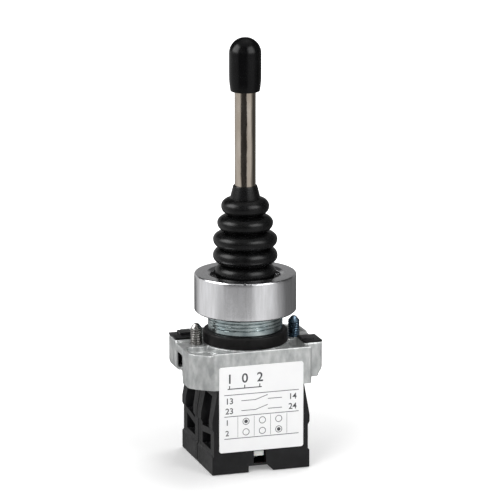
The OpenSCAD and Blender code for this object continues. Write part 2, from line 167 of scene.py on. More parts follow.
paper, tree, shader = principled("floor_paper")
shader.inputs["Base Color"].default_value = (0.93, 0.93, 0.93, 1)
shader.inputs["Roughness"].default_value = 0.9
shader.inputs["Specular IOR Level"].default_value = 0.0
shader.inputs["Emission Color"].default_value = (1, 1, 1, 1)
place = tree.nodes.new("ShaderNodeTexCoord")
away = tree.nodes.new("ShaderNodeVectorMath")
away.operation = "LENGTH"
link(tree, place.outputs["Object"], away.inputs[0])
glow = tree.nodes.new("ShaderNodeMapRange")
glow.interpolation_type = "SMOOTHSTEP"
glow.inputs["From Min"].default_value = GLOW_START
glow.inputs["From Max"].default_value = GLOW_FULL
glow.inputs["To Min"].default_value = GLOW_LEAST
glow.inputs["To Max"].default_value = 1.0
link(tree, away.outputs["Value"], glow.inputs["Value"])
seen = tree.nodes.new("ShaderNodeMath")
seen.operation = "MULTIPLY"
link(tree, sees_background(tree), seen.inputs[0])
link(tree, glow.outputs["Result"], seen.inputs[1])
link(tree, seen.outputs[0], shader.inputs["Emission Strength"])
half = FLOOR_SIZE / 2
floor = stage_object("floor", [(-half, -half, FLOOR_Z), (half, -half, FLOOR_Z),
                               (half, half, FLOOR_Z), (-half, half, FLOOR_Z)],
                     [(0, 1, 2, 3)], paper)
floor.visible_glossy = False
print("floor, m:", FLOOR_SIZE)

# %% [markdown]
# ### World
# The world lights the switch evenly and softly. The camera, polished metal and clear plastic see
# it as pure white. A background picture would do too, but a plain colour adds no tint.

# %% World
WORLD_LIGHT = 0.50
world = bpy.data.worlds.new("studio")
bpy.context.scene.world = world
world.use_nodes = True
tree = world.node_tree
tree.nodes.clear()
strength = tree.nodes.new("ShaderNodeMapRange")
strength.inputs["To Min"].default_value = WORLD_LIGHT
strength.inputs["To Max"].default_value = 1.0
link(tree, sees_background(tree), strength.inputs["Value"])
sky = tree.nodes.new("ShaderNodeBackground")
link(tree, strength.outputs[0], sky.inputs["Strength"])
out = tree.nodes.new("ShaderNodeOutputWorld")
link(tree, sky.outputs[0], out.inputs["Surface"])
bpy.context.scene.view_settings.view_transform = "Standard"
print("world light:", WORLD_LIGHT)

# %% [markdown]
# ### Lamps
# Area lamps stand round the switch like the soft boxes of a photo studio: the key on the left,
# a weaker fill on the right, and one from behind and above that parts the switch from the paper.
# Large lamps give soft shadows.

# %% Lamps


def aimed(obj, place, target):
    """Turns an object so that its -Z axis points from place to target."""
    obj.location = place
    toward = np.array(target) - np.array(place)
    flat = math.hypot(toward[0], toward[1])
    obj.rotation_euler = (math.atan2(flat, -toward[2]), 0, math.atan2(-toward[0], toward[1]))


LAMP_AIM = (0, 0, 0.06)


def around(angle, distance, height):
    """Point at a distance from the axis, at an angle in degrees to the right of the camera."""
    turn = VIEW_AZIMUTH + math.radians(angle)
    return (math.sin(turn) * distance, -math.cos(turn) * distance, height)


def softbox(name, place, size, power):
    """Rectangular area lamp aimed at the middle of the switch."""
    data = bpy.data.lights.new(name, "AREA")
    data.shape = "RECTANGLE"
    data.size, data.size_y = size
    data.energy = power
    lamp = bpy.data.objects.new(name, data)
    bpy.context.scene.collection.objects.link(lamp)
    aimed(lamp, place, LAMP_AIM)


softbox("key", around(-28, 0.9, 0.62), (0.45, 0.6), 4.6)
softbox("fill", around(46, 1.0, 0.50), (0.4, 0.6), 3.4)
softbox("top", around(150, 0.45, 1.0), (0.5, 0.4), 3)

# %% [markdown]
# ### A tent for the metal
# Polished metal has no colour of its own: it shows what stands round it. In a studio that is a
# tent of paper with darker bands. Here it is a drum round the switch that only reflections see.
# Its brightness is a function of two parameters, the angle round the drum and the height. The
# upper half serves the mirror-bright rod with a hard dark band, and the lower half serves the
# satin bezel with softer steps. Two bright strips higher up put soft lights on the black rubber.
# Real lamps could do it too, but each one would light every piece, and here every finish gets
# its own part of the wall.

# %% Brightness of the tent
TENT_R = 0.25
TENT_LOW, TENT_HIGH = -0.25, 0.95
CEILING, ROOF = 0.06, 0.50
STRIP_LAMPS = 9.0
UPPER = {-180: 0.36, -150: 0.50, -120: 0.80, -62: 0.92, -50: 0.70, -44: 0.07, 14: 0.04, 22: 0.80,
         60: 0.92, 80: 0.25, 100: 0.07, 150: 0.22, 180: 0.36}
LOWER = {-180: 0.12, -150: 0.12, -134: 0.48, -118: 0.95, -70: 1.0, -64: 0.60,
         -34: 0.70, -8: 0.66, 8: 0.68, 26: 1.0, 44: 1.0, 56: 0.84, 72: 0.62, 100: 0.20,
         150: 0.12, 180: 0.14}


def ramp(x, start, stop):
    """0 before start, 1 after stop and a straight line between them."""
    return np.clip((x - start) / (stop - start), 0, 1)


def tent_light(angle, height):
    """Brightness at an angle in degrees and a height: each half joins its own stops by straight
    lines, and just below the floor the one half passes into the other. Two strip lamps, each a
    product of ramps in angle and height, give the black rubber its lights. Round them the tent
    is dark, and its highest part is grey."""
    upper = np.interp(angle, list(UPPER), list(UPPER.values()))
    lower = np.interp(angle, list(LOWER), list(LOWER.values()))
    level = lower + (upper - lower) * ramp(height, -0.006, 0.004)
    level = level + (CEILING - level) * ramp(height, 0.12, 0.15)
    level = level + (ROOF - level) * ramp(height, 0.42, 0.50)
    left = ramp(angle, -112, -96) * ramp(angle, -48, -62)
    right = 0.75 * ramp(angle, 18, 30) * ramp(angle, 80, 64)
    strips = (left + right) * ramp(height, 0.13, 0.17) * ramp(height, 0.44, 0.38)
    return level + STRIP_LAMPS * strips


print("tent at eye level in front:", round(float(tent_light(0.0, 0.05)), 2))

# %% [markdown]
# ### The drum
# The same grid of quads serves every surface in this lesson, so its helper comes here: each quad
# joins four neighbours of a grid of points, and a grid may close on itself one way or both ways.
# The brightness is kept at the points as an attribute, and the cloth's material reads it.

# %% Grid and drum


def grid_faces(rows, columns, wrap_rows=True, wrap_columns=True):
    """Quads between neighbours of a grid of points, joined round where it wraps."""
    i = np.arange(rows if wrap_rows else rows - 1)[:, None]
    j = np.arange(columns if wrap_columns else columns - 1)[None, :]
    k = (i + 1) % rows
    m = (j + 1) % columns
    return np.stack([i * columns + j, k * columns + j, k * columns + m, i * columns + m],
                    -1).reshape(-1, 4)


ROUND, UPWARDS = 361, 241
angle = np.linspace(-180, 180, ROUND)[:, None]
height = np.linspace(TENT_LOW, TENT_HIGH, UPWARDS)[None, :]
turn = VIEW_AZIMUTH + np.radians(angle)
tent_points = np.stack(np.broadcast_arrays(np.sin(turn) * TENT_R, -np.cos(turn) * TENT_R, height),
                       -1).reshape(-1, 3)
cloth, tree, shader = principled("tent_paper")
shader.inputs["Base Color"].default_value = (0, 0, 0, 1)
shader.inputs["Specular IOR Level"].default_value = 0.0
shader.inputs["Emission Color"].default_value = (1, 1, 1, 1)
light = tree.nodes.new("ShaderNodeAttribute")
light.attribute_name = "light"
link(tree, light.outputs["Fac"], shader.inputs["Emission Strength"])
tent = stage_object("tent", tent_points, grid_faces(ROUND, UPWARDS, False, False), cloth)
level = tent.data.attributes.new("light", "FLOAT", "POINT")
level.data.foreach_set("value", tent_light(*np.broadcast_arrays(angle, height)).ravel())
for hidden in ("camera", "diffuse", "shadow", "transmission", "volume_scatter"):
    setattr(tent, "visible_" + hidden, False)
print("tent points:", len(tent_points))

# %% [markdown]
# ## Finishes
# A finish is a small network: noise read in the object's own metres, used three ways. It tints
# the colour a little, it varies the roughness, and as a height it gives the grain of a casting or
# a moulding. A few helpers keep each recipe down to the numbers that make it what it is.

# %% Helpers for finishes


def noise(tree, scale, detail=3.0, stretch=(1, 1, 1)):
    """Noise socket, with scale in features per metre and an optional stretch along each axis."""
    place = tree.nodes.new("ShaderNodeTexCoord")
    turn = tree.nodes.new("ShaderNodeMapping")
    turn.inputs["Scale"].default_value = stretch
    link(tree, place.outputs["Object"], turn.inputs["Vector"])
    clouds = tree.nodes.new("ShaderNodeTexNoise")
    clouds.inputs["Scale"].default_value = scale
    clouds.inputs["Detail"].default_value = detail
    link(tree, turn.outputs["Vector"], clouds.inputs["Vector"])
    return clouds.outputs["Fac"]


def between(tree, value, lowest, highest, start=0.3, stop=0.7):
    """Socket that runs from lowest to highest as value goes from start to stop."""
    ranged = tree.nodes.new("ShaderNodeMapRange")
    ranged.inputs["From Min"].default_value = start
    ranged.inputs["From Max"].default_value = stop
    ranged.inputs["To Min"].default_value = lowest
    ranged.inputs["To Max"].default_value = highest
    link(tree, value, ranged.inputs["Value"])
    return ranged.outputs["Result"]


def tint(tree, value, dark, light, start=0.3, stop=0.7):
    """Colour socket that runs from dark to light as value goes from start to stop."""
    mix = tree.nodes.new("ShaderNodeMix")
    mix.data_type = "RGBA"
    link(tree, between(tree, value, 0, 1, start, stop), mix.inputs["Factor"])
    mix.inputs["A"].default_value = (*dark, 1)
    mix.inputs["B"].default_value = (*light, 1)
    return mix.outputs["Result"]


def grain(tree, shader, height, depth, strength=1.0):
    """Bump: height is a socket from 0 to 1, depth the height of its relief in metres."""
    bump = tree.nodes.new("ShaderNodeBump")
    bump.inputs["Distance"].default_value = depth
    bump.inputs["Strength"].default_value = strength
    link(tree, height, bump.inputs["Height"])
    link(tree, bump.outputs["Normal"], shader.inputs["Normal"])


def colour(tree, shader, value, dark, light, start=0.3, stop=0.7):
    """Colour of a finish: from dark to light as value goes from start to stop."""
    link(tree, tint(tree, value, dark, light, start, stop), shader.inputs["Base Color"])


def gloss(tree, shader, value, smooth, rough):
    """Roughness of a finish: from smooth to rough as value goes from 0.3 to 0.7."""
    link(tree, between(tree, value, smooth, rough), shader.inputs["Roughness"])


def settings(shader, **values):
    """Sets even values straight on the shader's own sockets; an underscore stands for a space."""
    for name, value in values.items():
        shader.inputs[name.replace("_", " ")].default_value = value


FINISH = {}


def keep_finishes(*recipes):
    """Makes each finish once and keeps it under its own name."""
    for recipe in recipes:
        FINISH[recipe.__name__] = recipe()
    print("finishes so far:", len(FINISH))


slot_of = {part["node"]: part["material_slot"] for part in frame["record"]["subparts"]}
print("finishes that the record asks for:", sorted(set(slot_of.values())))

# %% [markdown]
# ### Bezel, rod and neck
# The bezel is a plated die casting with a satin face, the rod is nickel with a mirror polish, and
# the neck is zinc plated. A metal's colour is the colour of what it reflects, so each one is set
# to how bright it mirrors, and its roughness decides how sharp. The rod's relief is a tenth of a
# millimetre over several millimetres, the gentle waves that a belt polish leaves.

# %% Bezel, rod and neck finishes


def bezel_metal():
    """Satin plating, with fine streaks along the height and a very fine grain."""
    material, tree, shader = principled("bezel_metal")
    settings(shader, Metallic=1.0)
    fine = noise(tree, 900, 4, (1, 1, 0.12))
    colour(tree, shader, fine, (0.61, 0.61, 0.62), (0.73, 0.73, 0.75))
    gloss(tree, shader, noise(tree, 2600, 5), 0.15, 0.24)
    grain(tree, shader, noise(tree, 6000, 3), 0.000004)
    return material


def rod_chrome():
    """Warm nickel, cloudy along the rod, with long low waves."""
    material, tree, shader = principled("rod_chrome")
    settings(shader, Metallic=1.0)
    cloudy = noise(tree, 340, 4, (1, 1, 0.3))
    colour(tree, shader, cloudy, (0.36, 0.31, 0.255), (0.52, 0.47, 0.415))
    gloss(tree, shader, noise(tree, 900, 4, (1, 1, 0.3)), 0.08, 0.18)
    grain(tree, shader, noise(tree, 420, 3, (1, 1, 0.3)), 0.00010)
    return material


def zinc_plate():
    """Bright zinc with a bluish tone, in patches of a few millimetres."""
    material, tree, shader = principled("zinc_plate")
    settings(shader, Metallic=1.0)
    colour(tree, shader, noise(tree, 260, 5), (0.25, 0.30, 0.31), (0.50, 0.56, 0.56))
    gloss(tree, shader, noise(tree, 1800, 4), 0.18, 0.26)
    grain(tree, shader, noise(tree, 5000, 3), 0.000004)
    return material


keep_finishes(bezel_metal, rod_chrome, zinc_plate)

# %% [markdown]
# ### Clamp screws and collar
# The screws are zinc plated and passivated. The left screw is pale and the right one dark blue,
# so the two colours are mixed by the place from left to right. The collar is a bare zinc casting,
# matt and a little blotched. Its upright streaks of grey are painted shade, the soft bands of a
# wavy face under the lamps, laid into the colour over the blotches.

# %% Screw and casting finishes


def blue_zinc():
    """Patchy pale zinc to the left of the middle and patchy dark blue to the right of it."""
    material, tree, shader = principled("blue_zinc")
    settings(shader, Metallic=1.0)
    patchy = noise(tree, 420, 5)
    dark = tint(tree, patchy, (0.05, 0.09, 0.13), (0.17, 0.24, 0.31))
    pale = tint(tree, patchy, (0.19, 0.185, 0.18), (0.40, 0.39, 0.37))
    place = tree.nodes.new("ShaderNodeTexCoord")
    split = tree.nodes.new("ShaderNodeSeparateXYZ")
    link(tree, place.outputs["Object"], split.inputs["Vector"])
    mix = tree.nodes.new("ShaderNodeMix")
    mix.data_type = "RGBA"
    link(tree, between(tree, split.outputs["X"], 0, 1, -0.001, 0.001), mix.inputs["Factor"])
    link(tree, pale, mix.inputs["A"])
    link(tree, dark, mix.inputs["B"])
    link(tree, mix.outputs["Result"], shader.inputs["Base Color"])
    gloss(tree, shader, noise(tree, 2400, 4), 0.24, 0.40)
    grain(tree, shader, noise(tree, 5000, 3), 0.000005)
    return material


def zinc_casting():
    """Bare casting: grey blotches, drawn out along the height into streaks of painted shade, and
    a relief that is drawn out too.
    """
    material, tree, shader = principled("zinc_casting")
    settings(shader, Metallic=0.7)
    # Painted shade: the grey drawn out upright stands in for the shading bands of a wavy face,
    # over real blotches.
    blotch_and_shade_streaks = noise(tree, 560, 6, (1, 1, 0.45))
    colour(tree, shader, blotch_and_shade_streaks, (0.33, 0.34, 0.34), (0.53, 0.54, 0.535), 0.34, 0.68)
    gloss(tree, shader, noise(tree, 1500, 5), 0.36, 0.56)
    grain(tree, shader, noise(tree, 1300, 6, (1, 1, 0.6)), 0.00006, 0.8)
    return material


keep_finishes(blue_zinc, zinc_casting)

# %% [markdown]
# ### Steel and brass inside
# Pins, washers and springs are plain steel, and the contacts are brass. Little of them shows,
# and a cloudy tone with a varied roughness is all they need.

# %% Steel and brass finishes


def plain_steel():
    """Neutral steel, a little cloudy."""
    material, tree, shader = principled("plain_steel")
    settings(shader, Metallic=1.0)
    colour(tree, shader, noise(tree, 600, 4), (0.46, 0.46, 0.47), (0.60, 0.60, 0.61))
    gloss(tree, shader, noise(tree, 2000, 4), 0.24, 0.36)
    return material


def contact_brass():
    """Yellow brass with darker clouds."""
    material, tree, shader = principled("contact_brass")
    settings(shader, Metallic=1.0)
    colour(tree, shader, noise(tree, 500, 5), (0.62, 0.42, 0.20), (0.78, 0.58, 0.32))
    gloss(tree, shader, noise(tree, 1600, 4), 0.25, 0.40)
    return material


keep_finishes(plain_steel, contact_brass)

# %% [markdown]
# ### Rubber, vinyl and black plastic
# Four blacks lie side by side here and have to stay apart: the boot has a soft broad sheen, the
# seal ring is dull, the dipped grip is glossy, and the block mouldings have a fine spark-eroded
# grain. Only roughness, grain and a few thousandths of colour set them apart.

# %% Four blacks


def black_rubber():
    """Bellows rubber: nearly even, with a soft sheen."""
    material, tree, shader = principled("black_rubber")
    settings(shader, Specular_IOR_Level=0.17)
    colour(tree, shader, noise(tree, 400, 5), (0.002, 0.002, 0.0022), (0.005, 0.005, 0.0053))
    gloss(tree, shader, noise(tree, 900, 5), 0.24, 0.33)
    grain(tree, shader, noise(tree, 3500, 4), 0.000012)
    return material


def seal_rubber():
    """Dull rubber of the seal ring."""
    material, tree, shader = principled("seal_rubber")
    settings(shader, Specular_IOR_Level=0.14)
    colour(tree, shader, noise(tree, 500, 5), (0.004, 0.004, 0.004), (0.009, 0.0085, 0.0085))
    gloss(tree, shader, noise(tree, 1200, 4), 0.44, 0.58)
    grain(tree, shader, noise(tree, 4000, 4), 0.000015)
    return material


def grip_vinyl():
    """Dipped vinyl: a low swell and a thin glossy coat."""
    material, tree, shader = principled("grip_vinyl")
    settings(shader, Specular_IOR_Level=0.10, Coat_Weight=0.04, Coat_Roughness=0.10)
    colour(tree, shader, noise(tree, 250, 3), (0.002, 0.002, 0.0022), (0.004, 0.004, 0.0043))
    gloss(tree, shader, noise(tree, 700, 4), 0.18, 0.28)
    grain(tree, shader, noise(tree, 900, 3), 0.000010)
    return material


def black_plastic():
    """Block moulding with a fine spark-eroded grain."""
    material, tree, shader = principled("black_plastic")
    settings(shader, Specular_IOR_Level=0.20)
    colour(tree, shader, noise(tree, 260, 5), (0.004, 0.004, 0.0044), (0.010, 0.010, 0.011))
    gloss(tree, shader, noise(tree, 700, 5), 0.30, 0.46)
    grain(tree, shader, noise(tree, 7000, 3), 0.000010)
    return material


keep_finishes(black_rubber, seal_rubber, grip_vinyl, black_plastic)

# %% [markdown]
# ### Nylon, label and ink
# Nylon lets a little light in, which subsurface scattering shows. The label is a white film with
# a clear varnish, so it gets a coat. The ink lies on it as thin solid print of its own.

# %% Nylon, label and ink finishes


def white_nylon():
    """Milky nylon: light goes about a millimetre in."""
    material, tree, shader = principled("white_nylon")
    settings(shader, Subsurface_Weight=0.15, Subsurface_Scale=0.0008)
    colour(tree, shader, noise(tree, 300, 4), (0.74, 0.74, 0.70), (0.84, 0.84, 0.81))
    gloss(tree, shader, noise(tree, 900, 4), 0.35, 0.50)
    return material


def label_white():
    """Varnished white film, with a very fine grain."""
    material, tree, shader = principled("label_white")
    settings(shader, Specular_IOR_Level=0.4, Coat_Weight=0.3, Coat_Roughness=0.25)
    colour(tree, shader, noise(tree, 180, 4), (0.86, 0.86, 0.865), (0.89, 0.89, 0.89))
    gloss(tree, shader, noise(tree, 600, 4), 0.34, 0.44)
    grain(tree, shader, noise(tree, 2500, 2), 0.000003)
    return material


def label_ink():
    """Black ink that is worn to dark grey in places."""
    material, tree, shader = principled("label_ink")
    colour(tree, shader, noise(tree, 4000, 4), (0.030, 0.030, 0.034), (0.075, 0.075, 0.080))
    gloss(tree, shader, noise(tree, 900, 3), 0.40, 0.55)
    return material


keep_finishes(white_nylon, label_white, label_ink)

# %% [markdown]
# ## Dress the carried-over solids
# Most inner pieces, such as the pushers, contacts and terminal screws, already have their true
# shape. They keep their mesh and take the finish that the record names for them.

# %% Dress every CAD node
for name, solid in frame["nodes"].items():
    solid.data.materials.clear()
    solid.data.materials.append(FINISH[slot_of[name]])
print("dressed:", len(slot_of))

# %% [markdown]
# ## Tools for surfaces
# Turned pieces come from one idea. A few corners are joined by straight edges, each corner is
# replaced by a small arc, and the loop is carried once round the axis. Real edges are never
# perfectly sharp, and those small arcs are what catches the light. Blender's Screw and Bevel
# modifiers could do the same, but with arrays the radius of each corner is one number.

# %% Profile with rounded corners


def rounded(corners, radii, steps=5):
    """Closed loop with its corners rounded.
    At a corner of half-angle h, an arc of radius r touches both edges at r / tan(h) from the
    corner, and its centre lies r / sin(h) away along the bisector. The points of the arc turn
    evenly from one touching point to the other."""
    p = np.array(corners, float)
    r = np.broadcast_to(np.array(radii, float), len(p))[:, None]
    before = np.roll(p, 1, 0) - p
    after = np.roll(p, -1, 0) - p
    before /= np.linalg.norm(before, axis=1)[:, None]
    after /= np.linalg.norm(after, axis=1)[:, None]
    half_angle = np.arccos(np.clip((before * after).sum(1), -1, 1))[:, None] / 2
    bisector = before + after
    bisector /= np.linalg.norm(bisector, axis=1)[:, None]
    centre = p + bisector * r / np.sin(half_angle)
    first = p + before * r / np.tan(half_angle) - centre
    last = p + after * r / np.tan(half_angle) - centre
    sweep = np.pi - 2 * half_angle
    t = np.linspace(0, 1, steps)[None, :, None]
    turn = sweep[:, :, None]
    arc = (np.sin((1 - t) * turn) * first[:, None] + np.sin(t * turn) * last[:, None])
    return (centre[:, None] + arc / np.sin(turn)).reshape(-1, 2)


def densify(profile, spacing):
    """Adds points along the long edges of a closed loop, so that none is longer than spacing."""
    step = np.roll(profile, -1, 0) - profile
    count = np.maximum(1, np.ceil(np.linalg.norm(step, axis=1) / spacing)).astype(int)
    which = np.repeat(np.arange(len(profile)), count)
    share = (np.arange(count.sum()) - np.repeat(np.cumsum(count) - count, count)) / count[which]
    return profile[which] + step[which] * share[:, None]


print("a unit square rounded:", rounded([(0, 0), (1, 0), (1, 1), (0, 1)], 0.2).shape, "points")

# %% [markdown]
# ### From a profile to a piece
# The loop of points is repeated at even angles, which gives a grid that closes both ways. A
# helper makes the mesh, and another one hands it over: it sets the finish, names the body that
# the piece rides on, and hides the solids of the model that it stands for.

# %% Surface of revolution


def revolve(profile, around_axis=144, relief=None, foot=(0, 0)):
    """Surface of revolution about an upright axis through foot.
    A profile point (radius, height) becomes (radius cos a, radius sin a, height) for every
    angle a. relief, where given, takes the angles and the profile and returns how far each
    point moves outwards. The result is a pair of arrays, points and quads."""
    a = np.linspace(0, 2 * np.pi, around_axis, endpoint=False)[:, None]
    radius = np.repeat(profile[None, :, 0], around_axis, 0)
    if relief is not None:
        radius = radius + relief(a, profile)
    radius = np.maximum(radius, 0)
    height = np.repeat(profile[None, :, 1], around_axis, 0)
    points = np.stack([foot[0] + radius * np.cos(a), foot[1] + radius * np.sin(a), height], -1)
    return points.reshape(-1, 3), grid_faces(around_axis, len(profile))


print("faces of a ring of 4 by 8 points:", len(grid_faces(8, 4)))

# %% Mesh and piece


def make_mesh(name, *parts):
    """Mesh of one or more pairs of points and faces, with doubles merged and faces outwards."""
    mesh = bpy.data.meshes.new(name)
    points, faces, start = [], [], 0
    for part_points, part_faces in parts:
        points += np.asarray(part_points).tolist()
        faces += [[start + int(k) for k in face] for face in part_faces]
        start = len(points)
    mesh.from_pydata(points, [], faces)
    work = bmesh.new()
    work.from_mesh(mesh)
    bmesh.ops.remove_doubles(work, verts=work.verts, dist=1e-7)
    bmesh.ops.dissolve_degenerate(work, edges=work.edges, dist=1e-7)
    bmesh.ops.recalc_face_normals(work, faces=work.faces)
    work.to_mesh(mesh)
    work.free()
    return mesh


def piece(mesh, body, slot, replaced=(), smooth_angle=35, finish=None):
    """Makes a mesh a piece of the switch: its finish, its body and the CAD nodes it replaces.
    A piece without a body is left unattached."""
    obj = bpy.data.objects.new(mesh.name, mesh)
    bpy.context.scene.collection.objects.link(obj)
    mesh.shade_smooth()
    if smooth_angle:
        mesh.set_sharp_from_angle(angle=math.radians(smooth_angle))
    mesh.materials.clear()
    mesh.materials.append(FINISH[finish or slot])
    if body:
        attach(obj, body)
    if replaced:
        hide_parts(*replaced)
    print(obj.name, "faces:", len(mesh.polygons))
    return obj


print("tools for surfaces are ready")

# %% [markdown]
# ## Lever rod
# Bar stock, polished and nickel plated. Its lower end is turned down to a thinner stub that goes
# through the hub. A cylinder with a bevel would look alike from afar, but the profile gives each
# end its own radius. The loop closes on the axis, where its points are drawn together.

# %% Lever rod
rod_low, rod_high = low("lever_rod"), high("lever_rod")
rod_r = rod_high[0]
hub_low = low("pivot_hub")[2]
stub_r = 2.0 * MM
rod_profile = rounded([
    (0.02 * MM, rod_low[2]), (stub_r, rod_low[2]), (stub_r, hub_low), (rod_r, hub_low),
    (rod_r, rod_high[2]), (0.02 * MM, rod_high[2]),
], [0.01 * MM, 0.1 * MM, 0.05 * MM, 0.1 * MM, 0.5 * MM, 0.01 * MM])
rod_profile[:, 0] = np.where(rod_profile[:, 0] < 0.05 * MM, 0, rod_profile[:, 0])
piece(make_mesh("lever_rod_polished", revolve(rod_profile)), "lever", "rod_chrome",
      ["lever_rod"])

# %% [markdown]
# ## Grip
# The grip is dipped: a warm rod goes into liquid vinyl and comes out with a skin that is thicker
# and rounder towards the end, and that ends in a thin rolled lip. Its outer wall is one formula
# of the share of its length. Rings sculpted by hand would be slower, and less even.

# %% Grip wall
grip_low, grip_high = low("grip_cap"), high("grip_cap")
grip_r = grip_high[0]
grip_length = grip_high[2] - grip_low[2]
LIP_R = 0.30 * MM
LIP_SHARE = 0.03
SWELL_SHARE = 0.30
SWELL_FROM = 0.90


def grip_radius(s):
    """Outer radius at the share s of the grip's length.
    It swells from the lip to its full size over the first third, by a power of a sine. The end
    is half a sphere: with u radii of length left, the radius is the square root of
    1 - (1 - u) squared, times the full one."""
    rise = np.sin(np.clip(s / SWELL_SHARE, 0, 1) * np.pi / 2) ** 0.8
    swell = SWELL_FROM + (1 - SWELL_FROM) * rise
    left = np.clip((1 - s) * grip_length / grip_r, 0, 1)
    return grip_r * np.minimum(swell, 1) * np.sqrt(1 - (1 - left) ** 2)


print("grip radius at half its length, mm:", round(float(grip_radius(0.5)) / MM, 2))

# %% Grip piece
DOME = 0.32
quarter_turn = np.linspace(0, np.pi / 2, 40)
s = np.concatenate([np.linspace(LIP_SHARE, 1 - DOME, 40), 1 - DOME * np.cos(quarter_turn)])
outer = np.stack([grip_radius(s), grip_low[2] + s * grip_length], 1)
lip = np.linspace(-np.pi / 2, 0, 8)
lip_height = LIP_SHARE * grip_length
lip_arc = np.stack([grip_radius(LIP_SHARE) - LIP_R + LIP_R * np.cos(lip),
                    grip_low[2] + lip_height * (1 + np.sin(lip))], 1)
bore_r = rod_r + 0.02 * MM
grip_profile = np.concatenate([
    [(0, rod_high[2] + 0.01 * MM), (bore_r, rod_high[2] + 0.01 * MM), (bore_r, grip_low[2])],
    lip_arc[:-1], outer,
])
piece(make_mesh("grip_dipped", revolve(grip_profile)), "lever", "grip_vinyl", ["grip_cap"])

# %% [markdown]
# ## Boot
# The rubber bellows keeps dust out of the head. Its foot is a flat flange that the bezel clamps,
# its neck hugs the rod, and five folds lie between. Each fold is half an ellipse, so that two
# folds meet in a narrow valley. The inner wall repeats the outer one with smaller ellipses. A
# sculpted or subdivided tube would look alike, but here the folds have to match the solid that
# they stand for, so the curve is computed.

# %% Boot measures
BOOT_WALL = 0.9 * MM
boot_top = high("boot")[2]
bezel_top = high("bezel_ring")[2]
flange_low = low("boot")[2]
flange_top = high("boot_clamp_ring")[2] + 1.0 * MM
FOLD_R = np.array([8.9, 9.5, 9.45, 8.2, 7.06]) * MM
FOLD_PITCH = 4.93 * MM
VALLEY_DEPTH = 2.3 * MM
TOP_VALLEY_R = 4.45 * MM
CONE_R, CUFF_R = 4.42 * MM, 3.58 * MM
fold_z = bezel_top + 0.2 * MM + np.arange(len(FOLD_R)) * FOLD_PITCH
print("boot folds at, mm:", np.round(fold_z / MM, 2), "top:", round(boot_top / MM, 2))

# %% Boot profile


def folds(wall):
    """Profile of the folds, taken in by a wall.
    At the angle t from -90 to 90 degrees, a fold stands (crest - valley) cos t out from its
    valley and half a fold's height times sin t above its middle. The valley below a fold and
    the one above it are as deep as the smaller neighbour asks."""
    t = np.linspace(-np.pi / 2, np.pi / 2, 29)[None, :]
    crest = (FOLD_R - wall)[:, None]
    neighbour = np.minimum(FOLD_R[:-1], FOLD_R[1:]) - VALLEY_DEPTH
    below = np.concatenate([[neighbour[0]], neighbour])[:, None] - wall
    above = np.concatenate([neighbour, [TOP_VALLEY_R]])[:, None] - wall
    valley = np.where(t < 0, below, above)
    half_height = FOLD_PITCH / 2 - 0.1 * MM - 0.8 * wall
    radius = valley + (crest - valley) * np.cos(t)
    height = fold_z[:, None] + half_height * np.sin(t)
    return np.stack([radius, height], -1).reshape(-1, 2)


print("one wall of the folds:", folds(0).shape)

# %% [markdown]
# The whole profile goes round the wall once: up the outside of the flange, over the folds, up
# the slim cone to the top, down the bore that hugs the rod, and back down the inner folds.

# %% Boot loop
outer = folds(0)
outer = outer[outer[:, 1] > flange_top + 0.05 * MM]
inner = folds(BOOT_WALL)[::-1]
inner = inner[inner[:, 1] > flange_low + 0.3 * MM]
rod_hole = rod_r + 0.02 * MM
boot_foot_r = high("threaded_bush")[0] - 0.02 * MM
boot_profile = np.concatenate([
    [(boot_foot_r - 0.1 * MM, flange_low), (boot_foot_r, flange_low + 0.1 * MM),
     (boot_foot_r, flange_top - 0.1 * MM), (boot_foot_r - 0.1 * MM, flange_top)],
    outer,
    [(CONE_R, outer[-1, 1] + 0.15 * MM), (CONE_R - 0.08 * MM, outer[-1, 1] + 0.6 * MM),
     (CUFF_R, boot_top - 0.25 * MM), (CUFF_R - 0.04 * MM, boot_top - 0.08 * MM),
     (CUFF_R - 0.13 * MM, boot_top), (rod_hole, boot_top), (rod_hole, inner[0, 1] + 0.4 * MM)],
    inner,
    [(inner[-1, 0], flange_low)],
])
print("boot profile points:", len(boot_profile))

# %% [markdown]
# Moulded rubber is one skin, so the boot can't be cut at the hinge. It rides on no body, and its
# mesh is baked where it stands.

# %% Boot piece
boot = piece(make_mesh("boot_bellows", revolve(boot_profile, 128)), None, "black_rubber",
             ["boot"], smooth_angle=70)
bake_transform(boot)

# %% [markdown]
# ## Bezel ring
# A die-cast ring, plated and left satin. Its outer edge has a thin bright chamfer, the top is a
# flat annulus that steps down to the boot, and a small notch in the rim shows which way the head
# is turned. The notch is a relief: within a narrow angle and near the rim, the radius shrinks.

# %% Bezel profile
bezel_low, bezel_high = low("bezel_ring"), high("bezel_ring")
gasket_high = high("panel_gasket")
bezel_r = bezel_high[0]
neck_r = 11 * MM
lip_z = flange_top
lip_r = 10.3 * MM
flange_r = high("threaded_bush")[0] + 0.05 * MM
step_z = high("threaded_bush")[2] - 1.2 * MM
bore = neck_r + 0.05 * MM
seat_r = gasket_high[0] + 0.05 * MM
CHAMFER_IN, CHAMFER_DOWN = 0.28 * MM, 0.34 * MM
bezel_profile = rounded([
    (bore, bezel_low[2]), (bore + 0.6 * MM, bezel_low[2]), (bore + 0.6 * MM, gasket_high[2]),
    (seat_r, gasket_high[2]), (seat_r, bezel_low[2]), (bezel_r - 0.6 * MM, bezel_low[2]),
    (bezel_r, bezel_low[2] + 0.5 * MM), (bezel_r, bezel_high[2] - CHAMFER_DOWN),
    (bezel_r - CHAMFER_IN, bezel_high[2]), (lip_r + 0.9 * MM, bezel_high[2]),
    (lip_r, bezel_high[2] - 0.6 * MM), (lip_r, lip_z), (flange_r, lip_z), (flange_r, step_z),
    (bore, step_z),
], np.array([0.02, 0.05, 0.02, 0.02, 0.08, 0.25, 0.35, 0.15, 0.15, 0.3, 0.15, 0.1, 0.02, 0.02,
             0.02]) * MM, 7)
print("bezel profile points:", len(bezel_profile))

